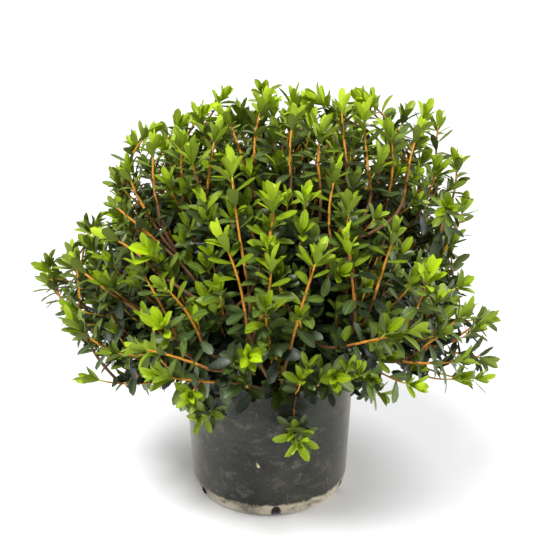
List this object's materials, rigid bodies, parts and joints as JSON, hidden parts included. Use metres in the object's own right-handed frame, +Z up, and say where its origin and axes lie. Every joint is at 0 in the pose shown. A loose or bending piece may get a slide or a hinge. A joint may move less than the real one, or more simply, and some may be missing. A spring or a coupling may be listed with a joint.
{
  "type": "azalea shrub in a nursery pot",
  "caption": "Dense evergreen azalea shrub with many upright leafy shoots, growing from potting soil in a plain round plastic nursery pot.",
  "frame": {"origin": "centre of the pot's flat underside, where it stands on the ground", "axes": "+Z up along the pot's axis; -Y is the plant's front, as it is seen; +X is to the right as seen from the front"},
  "size_m": [0.7317, 0.6979, 0.6628],
  "materials": {
    "pot": "matte, dusty and scuffed",
    "soil": "rough, dark potting mix of bark",
    "bark": "rough brown bark",
    "foliage": "satin green leaves"
  },
  "bodies": {
    "root": {"bough_back_left_skirt": "bark", "bough_back_left_upper": "bark", "bough_back_right_skirt": "bark", "bough_back_right_upper": "bark", "bough_front_left_skirt": "bark", "bough_front_left_upper": "bark", "bough_front_right_skirt": "bark", "bough_front_right_upper": "bark", "bough_left_skirt": "bark", "bough_left_upper": "bark", "bough_right_skirt": "bark", "bough_right_upper": "bark", "foliage_back_left_shoulder": "foliage", "foliage_back_left_skirt": "foliage", "foliage_back_left_upper": "foliage", "foliage_back_right_shoulder": "foliage", "foliage_back_right_skirt": "foliage", "foliage_back_right_upper": "foliage", "foliage_front_left_shoulder": "foliage", "foliage_front_left_skirt": "foliage", "foliage_front_left_upper": "foliage", "foliage_front_right_shoulder": "foliage", "foliage_front_right_skirt": "foliage", "foliage_front_right_upper": "foliage", "foliage_left_shoulder": "foliage", "foliage_left_skirt": "foliage", "foliage_left_upper": "foliage", "foliage_right_shoulder": "foliage", "foliage_right_skirt": "foliage", "foliage_right_upper": "foliage", "foliage_top": "foliage", "limb_back_left": "bark", "limb_back_right": "bark", "limb_front_left": "bark", "limb_front_right": "bark", "limb_leader": "bark", "limb_left": "bark", "limb_right": "bark", "pot": "pot", "soil": "soil", "trunk": "bark"}
  },
  "joints": []
}
